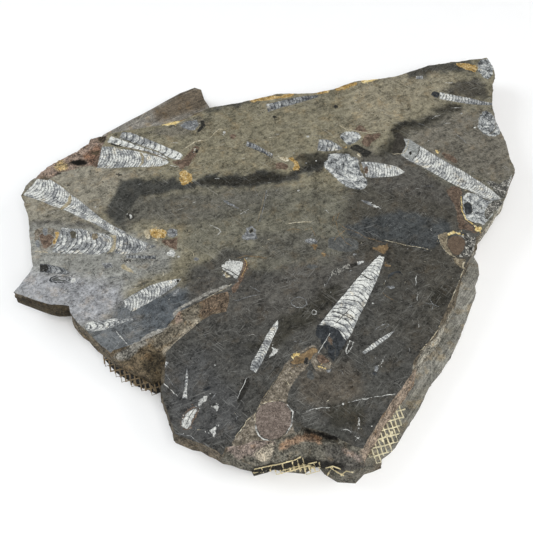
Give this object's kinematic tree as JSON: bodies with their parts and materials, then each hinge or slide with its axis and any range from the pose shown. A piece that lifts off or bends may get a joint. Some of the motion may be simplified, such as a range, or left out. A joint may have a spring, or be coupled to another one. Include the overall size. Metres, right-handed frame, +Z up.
{
  "type": "orthoceras fossil",
  "caption": "Polished plate of dark limestone full of straight-shelled orthoceras fossils, glued by a net in resin to a sawn backing slab; lies flat on its underside.",
  "frame": {"origin": "on the floor under the middle of the whole piece", "axes": "+Z up out of the polished face, +X along the longest side, towards the pointed far corner"},
  "size_m": [0.5841, 0.5472, 0.0418],
  "materials": {
    "polished_limestone": "polished top with pale fossils, rough broken edges",
    "net_resin": "cream glass-fibre net in cloudy yellow resin",
    "sawn_limestone": "sawn faces with fine saw marks, broken edges"
  },
  "bodies": {
    "root": {"fossil_plate": "polished_limestone", "reinforcing_net": "net_resin", "backing_slab": "sawn_limestone"}
  },
  "joints": []
}
